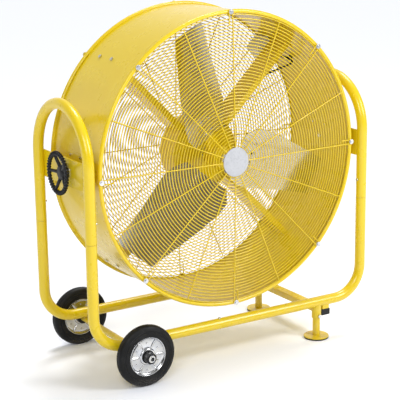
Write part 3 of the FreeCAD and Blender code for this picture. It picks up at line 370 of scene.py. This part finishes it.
def blade_aluminium():
    """Rolled sheet: satin, with handling marks and a faint grain along the blade."""
    look = Finish("satin_aluminium", metallic=1.0)
    tone = look.blend(look.patches(7, 3, 0.35, 0.65), (0.68, 0.67, 0.62), (0.62, 0.60, 0.55))
    marks = look.patches(40, 5, 0.58, 0.75, 0, 0.2)
    tone = look.blend(marks, tone, (0.50, 0.48, 0.43))
    rolled = look.noise(520, 3, (0.05, 1.0, 0.35))
    roughness = look.remap(rolled, 0.3, 0.7, 0.12, 0.18)
    return look.finish(tone, roughness, look.bump(rolled, 0.004 * MM))


def stator_iron():
    """Stack of thin sheets along the motor axis, darkened by varnish."""
    look = Finish("laminations_and_varnish", metallic=0.5)
    sheets = look.noise(1, 0, (0.0, 1600.0, 0.0))
    tone = look.blend(look.remap(sheets, 0.35, 0.65), (0.20, 0.13, 0.07), (0.34, 0.30, 0.25))
    roughness = look.patches(120, 3, 0.3, 0.7, 0.4, 0.6)
    return look.finish(tone, roughness, look.bump(sheets, 0.2 * MM))


FINISHES = {make.__name__: make() for make in (
    yellow_paint, bright_steel, zinc_plate, black_plastic, black_rubber, tyre_rubber, cable_sheath,
    grey_plastic, badge_grey, blade_aluminium, stator_iron)}


def dress_cad_nodes():
    """Every CAD node takes the finish made for its slot in the record."""
    for part in frame["record"]["subparts"]:
        node = frame["nodes"][part["node"]]
        node.material_slots[0].material = FINISHES[part["material_slot"]]


def place(piece, body, slot, *nodes):
    """Gives a new piece its finish and body, and hides the CAD nodes it stands for."""
    piece.data.materials.append(FINISHES[slot])
    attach(piece, body)
    if nodes:
        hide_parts(*nodes)


# --- guards ------------------------------------------------------------------
RING_PITCH = 11.46
RING_COUNT = 40
RING_WIRE_R = 1.85
CENTRE_RING_R = 58.0
CENTRE_WIRE_R = 2.0
EDGE_RING_R = 531.5
SPOKE_WIRE_R = 2.0
# a guard is a flat cone: y of its spokes at the radius CONE_R, and its rise to the middle
SPOKE_EDGE_Y = 195.4
CONE_RISE = 16.0
CONE_R = 536.0


def guard_ring_radii(inner_rings):
    """Every ring as (radius, wire radius)."""
    radii = [(EDGE_RING_R, RING_WIRE_R), (CENTRE_RING_R, CENTRE_WIRE_R)]
    for k in range(1, RING_COUNT + 1):
        radii.append((CENTRE_RING_R + k * RING_PITCH, RING_WIRE_R))
    for k in range(1, inner_rings + 1):
        radii.append((CENTRE_RING_R - k * RING_PITCH, RING_WIRE_R))
    return radii


def add_guard_rings(node, side, inner_rings):
    """Round wires welded to the inner side of the spokes; side is -1 at the badge."""
    rings = []
    for radius, wire_r in guard_ring_radii(inner_rings):
        spoke_y = SPOKE_EDGE_Y + CONE_RISE * (1 - radius / CONE_R)
        rings.append(wire_ring(radius, wire_r, side * (spoke_y - SPOKE_WIRE_R - wire_r)))
    place(join_grids(node + "_wire", rings), "drum", "yellow_paint", node)


# --- wheels ------------------------------------------------------------------
# half of the tyre's section, from bead to the middle of the tread: radius, side
TYRE_HALF = ((72.2, 16.5), (74.0, 18.2), (78.0, 18.8), (86.0, 18.8), (87.4, 20.0), (89.4, 20.0),
             (90.8, 18.7), (94.0, 18.7), (95.4, 20.0), (97.4, 20.0), (98.8, 19.2), (104.0, 18.2),
             (108.5, 15.8), (111.5, 12.0), (113.0, 7.0), (113.0, 1.6), (112.2, 0.8))
TYRE_SEGMENTS = 128
# pressed half of a rim: out along the well and over the lip, in along the dish, then over the
# collar round the hub and back behind the dish
RIM_LIP = ((69.6, 0.4), (69.6, 12.5), (71.6, 14.6), (72.0, 16.4), (71.4, 17.7), (70.0, 18.0),
           (68.6, 17.0), (67.6, 14.8))
RIM_DISH = ((65.5, 12.4), (61.0, 11.0), (55.0, 10.5), (48.0, 10.3), (41.0, 10.5), (36.0, 11.0),
            (31.5, 12.2))
RIM_BACK = ((29.5, 16.0), (27.5, 17.4), (24.3, 17.4), (24.3, 9.8), (32.0, 9.6), (41.0, 8.2),
            (55.0, 8.2), (61.0, 8.6), (65.6, 10.4), (67.4, 12.6), (67.4, 0.4))
RIM_SEGMENTS = 192
# pressed ribs, one between each two rivets
RIB_COUNT = 6
RIB_HEIGHT = 3.4
RIB_HALF_ANGLE = 0.075
RIB_MIDDLE_R = 50.0
RIB_HALF_LENGTH = 15.0
RIB_END_SLOPE = 2.5
RIVET_RING_R = 50.0
RIVET_FOOT = 9.0
RIVET_LENGTH = 2.6
RIVET_FOOT_R = 3.0
RIVET_HEAD_R = 3.2
RIVET_SIDES = 12
# the hub's outline and its eight-sided nut's: radius, distance towards the outer side
HUB_SLEEVE = ((10.2, -32.0), (23.0, -32.0), (24.0, -31.0), (24.0, 16.8), (22.8, 18.0), (10.2, 18.0))
HUB_SEGMENTS = 64
HUB_NUT = ((11.2, 18.0), (21.5, 18.0), (21.5, 42.8), (19.6, 45.0), (14.6, 45.0), (14.0, 44.2),
           (11.2, 44.2))
HUB_NUT_SIDES = 8


def sided(outline, side):
    """Outline whose distances count towards one side of the axis; side is 1 or -1."""
    return [(radius, side * along) for radius, along in outline]


def tyre_grid(centre):
    """Solid tyre, the same on both sides."""
    outline = sided(TYRE_HALF, 1) + sided(reversed(TYRE_HALF), -1)
    return lathe(outline, centre, TYRE_SEGMENTS), True, True


def rib_rise(angle, radius):
    """How far the dish stands proud at the pressed radial ribs."""
    nearest = (angle * RIB_COUNT / TURN + 0.5) % 1.0 - 0.5
    across = nearest * TURN / RIB_COUNT / RIB_HALF_ANGLE
    along = max(0.0, 1.0 - ((radius - RIB_MIDDLE_R) / RIB_HALF_LENGTH) ** 2)
    return RIB_HEIGHT * math.exp(-across ** 4) * min(1.0, RIB_END_SLOPE * along)


def rim_grid(centre, side):
    """One pressed half of a rim, with its ribs."""
    rows = []
    for k in range(RIM_SEGMENTS):
        angle = TURN * k / RIM_SEGMENTS
        dish = tuple((radius, along + rib_rise(angle, radius)) for radius, along in RIM_DISH)
        outline = sided(RIM_LIP + dish + RIM_BACK, side)
        rows.append([about_y(centre, radius * MM, angle, along * MM) for radius, along in outline])
    return rows, True, True


def rivets(centre, side):
    """Rivet heads between the ribs, through both halves of the rim."""
    grids = []
    for k in range(RIB_COUNT):
        angle = TURN * (k + 0.5) / RIB_COUNT
        foot = about_y(centre, RIVET_RING_R * MM, angle, side * RIVET_FOOT * MM) / MM
        head = foot + Vector((0, side * RIVET_LENGTH, 0))
        grids.append(bar(foot, head, RIVET_FOOT_R, RIVET_HEAD_R, RIVET_SIDES))
    return grids


def add_wheel(name, side):
    """Tyre, two-piece rim and hub of one wheel; side is -1 at the badge."""
    body = name + "_wheel"
    centre = middle(name + "_tyre")
    tyre = join_grids(name + "_tyre_moulding", [tyre_grid(centre)], sharp_degrees=24)
    place(tyre, body, "tyre_rubber", name + "_tyre")
    halves = [rim_grid(centre, 1), rim_grid(centre, -1)] + rivets(centre, 1) + rivets(centre, -1)
    rim = join_grids(name + "_rim_pressing", halves)
    place(rim, body, "zinc_plate", name + "_rim")
    sleeve = lathe(sided(HUB_SLEEVE, side), centre, HUB_SEGMENTS), True, True
    nut = lathe(sided(HUB_NUT, side), centre, HUB_NUT_SIDES, phase=0.5), True, True
    hub = join_grids(name + "_hub_moulding", [sleeve, nut], sharp_degrees=30)
    place(hub, body, "black_plastic", name + "_wheel_hub")


# --- handwheel ---------------------------------------------------------------
GRIP_RING_R = 71.0
GRIP_R = 9.0
GRIP_SIDES = 20
FLUTE_COUNT = 40
FLUTE_DEPTH = 4.0
FLUTE_STEPS = 6
# share of the flutes' depth halfway round the grip, and what the outer side adds to it
FLUTE_SHARE = 0.7
FLUTE_OUTER_SHARE = 0.3
# hub from the clamp face outwards and back along its blind bore: radius, distance
HANDWHEEL_HUB = ((8.2, 0.0), (26.8, 0.0), (28.0, 1.2), (28.0, 16.0), (27.0, 20.0), (24.0, 23.6),
                 (19.0, 26.4), (12.0, 28.2), (6.0, 28.7), (0.05, 28.7), (0.05, 25.0), (8.2, 25.0))
HANDWHEEL_HUB_SEGMENTS = 56
# spokes, from inside the hub to inside the grip
HANDWHEEL_SPOKES = 5
SPOKE_START_R = 20.0
SPOKE_START_RISE = 18.0
SPOKE_END_R = GRIP_RING_R - 4.0
SPOKE_THICK_R = 7.0
SPOKE_THIN_R = 5.4


def grip_grid(centre):
    """Round grip ring, fluted across all round, deepest on the outer side."""
    rows = []
    steps = FLUTE_STEPS * FLUTE_COUNT
    for k in range(steps):
        turn = TURN * k / steps
        flute = FLUTE_DEPTH * abs(math.sin(FLUTE_COUNT * turn / 2))
        row = []
        for j in range(GRIP_SIDES):
            around = TURN * j / GRIP_SIDES
            size = GRIP_R - flute * (FLUTE_SHARE + FLUTE_OUTER_SHARE * math.cos(around))
            radius = GRIP_RING_R + size * math.cos(around)
            row.append(about_x(centre, radius * MM, turn, size * math.sin(around) * MM))
        rows.append(row)
    return rows, True, True


def add_handwheel():
    """Grip ring, hub and spokes; the hub's face lies on the clamp washer."""
    low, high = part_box("handwheel")
    axis = Vector((0, FAN_AXIS.y, FAN_AXIS.z))
    grip_centre = axis + Vector((low.x + GRIP_R * MM, 0, 0))
    face = axis + Vector((high.x, 0, 0))
    hub = lathe(sided(HANDWHEEL_HUB, -1), face, HANDWHEEL_HUB_SEGMENTS, about_x)
    grids = [grip_grid(grip_centre), (hub, True, True)]
    for k in range(HANDWHEEL_SPOKES):
        angle = TURN * k / HANDWHEEL_SPOKES
        start = about_x(face, SPOKE_START_R * MM, angle, -SPOKE_START_RISE * MM) / MM
        end = about_x(grip_centre, SPOKE_END_R * MM, angle, 0) / MM
        grids.append(bar(start, end, SPOKE_THICK_R, SPOKE_THIN_R))
    wheel = join_grids("handwheel_moulding", grids, sharp_degrees=35)
    place(wheel, "handwheel", "black_plastic", "handwheel")


# --- camera, floor and light -------------------------------------------------
CAMERA_PLACE = (-2.5551, -4.0848, 1.7966)
CAMERA_AIM = (0.5083, 0.8249, -0.2474)
CAMERA_ROLL = -0.77       # degrees
CAMERA_SHIFT = (0.0105, 0.0019)
LENS = 117.9
SENSOR = 36.0
FLOOR_WIDTH = 180.0
# strength of the sky round the fan, and the share of it left below the horizon
BACKDROP = 1.15
FRONT_ROOM = 0.15
CEILING = 0.50
BELOW_HORIZON = 0.15
SUN_STRENGTH = 1.88
SUN_SPREAD = 24           # degrees
SUN_AIM = (-0.30, -0.25, -1.0)
# soft boxes in front of the fan: place, width and height, watts
SOFTBOXES = {
    "front_left_box": ((-3.0, -3.6, 3.4), (1.8, 2.2), 112),
    "front_right_box": ((2.6, -3.6, 3.2), (1.6, 2.2), 150),
}


def add_object(name, data, place, turned):
    """New object for a camera or a light; turned is a quaternion."""
    thing = bpy.data.objects.new(name, data)
    thing.location = place
    thing.rotation_mode = "QUATERNION"
    thing.rotation_quaternion = turned
    bpy.context.scene.collection.objects.link(thing)
    return thing


def facing(direction):
    """Turn that points a camera or a light along direction."""
    return Vector(direction).to_track_quat("-Z", "Y")


def add_camera():
    """Long lens, looking at the fan from the wheel side of the badge face."""
    data = bpy.data.cameras.new("camera")
    data.lens = LENS
    data.sensor_width = SENSOR
    data.shift_x, data.shift_y = CAMERA_SHIFT
    data.clip_end = 100
    roll = Quaternion((0, 0, 1), math.radians(CAMERA_ROLL))
    bpy.context.scene.camera = add_object("camera", data, CAMERA_PLACE, facing(CAMERA_AIM) @ roll)


def add_floor():
    """Pale matt floor that runs to the horizon."""
    material = bpy.data.materials.new("studio_floor")
    material.use_nodes = True
    shader = material.node_tree.nodes["Principled BSDF"]
    shader.inputs["Base Color"].default_value = (0.91, 0.93, 0.98, 1.0)
    shader.inputs["Roughness"].default_value = 0.9
    shader.inputs["Specular IOR Level"].default_value = 0.0
    half = FLOOR_WIDTH / 2
    corners = [(-half, -half, 0), (half, -half, 0), (half, half, 0), (-half, half, 0)]
    floor = add_mesh("studio_floor", corners, [(0, 1, 2, 3)])
    floor.data.materials.append(material)


def add_sky():
    """White backdrop behind the fan, with a softer ceiling and a dim room in front."""
    world = bpy.data.worlds.new("studio")
    bpy.context.scene.world = world
    world.use_nodes = True
    nodes, links = world.node_tree.nodes, world.node_tree.links
    background = nodes["Background"]
    background.inputs["Color"].default_value = (1, 1, 1, 1)
    direction = nodes.new("ShaderNodeSeparateXYZ")
    links.new(nodes.new("ShaderNodeTexCoord").outputs["Generated"], direction.inputs["Vector"])
    away, up = direction.outputs["Y"], direction.outputs["Z"]
    walls = map_range(nodes, links, away, 0.3, 0.95, FRONT_ROOM, BACKDROP)
    overhead = map_range(nodes, links, up, 0.25, 0.65, 0.0, 1.0)
    room = nodes.new("ShaderNodeMix")
    links.new(overhead, room.inputs["Factor"])
    links.new(walls, room.inputs["A"])
    room.inputs["B"].default_value = CEILING
    above = map_range(nodes, links, up, -0.04, 0.0, BELOW_HORIZON, 1.0)
    strength = multiply(nodes, links, room.outputs["Result"], above)
    links.new(strength, background.inputs["Strength"])


def add_sun():
    """Broad light from above, leaning in from the back right."""
    data = bpy.data.lights.new("overhead", "SUN")
    data.energy = SUN_STRENGTH
    data.angle = math.radians(SUN_SPREAD)
    add_object("overhead", data, (0, 0, 0), facing(SUN_AIM))


def add_softboxes():
    """Rectangular lights that face the middle of the drum."""
    for name, (place, size, watts) in SOFTBOXES.items():
        data = bpy.data.lights.new(name, "AREA")
        data.shape = "RECTANGLE"
        data.size, data.size_y = size
        data.energy = watts
        add_object(name, data, place, facing(FAN_AXIS - Vector(place)))


dress_cad_nodes()
add_guard_rings("front_guard_rings", -1, 0)
add_guard_rings("rear_guard_rings", 1, 3)
add_wheel("front", -1)
add_wheel("rear", 1)
add_handwheel()
add_camera()
add_floor()
add_sky()
add_sun()
add_softboxes()
bpy.context.scene.view_settings.view_transform = "Standard"
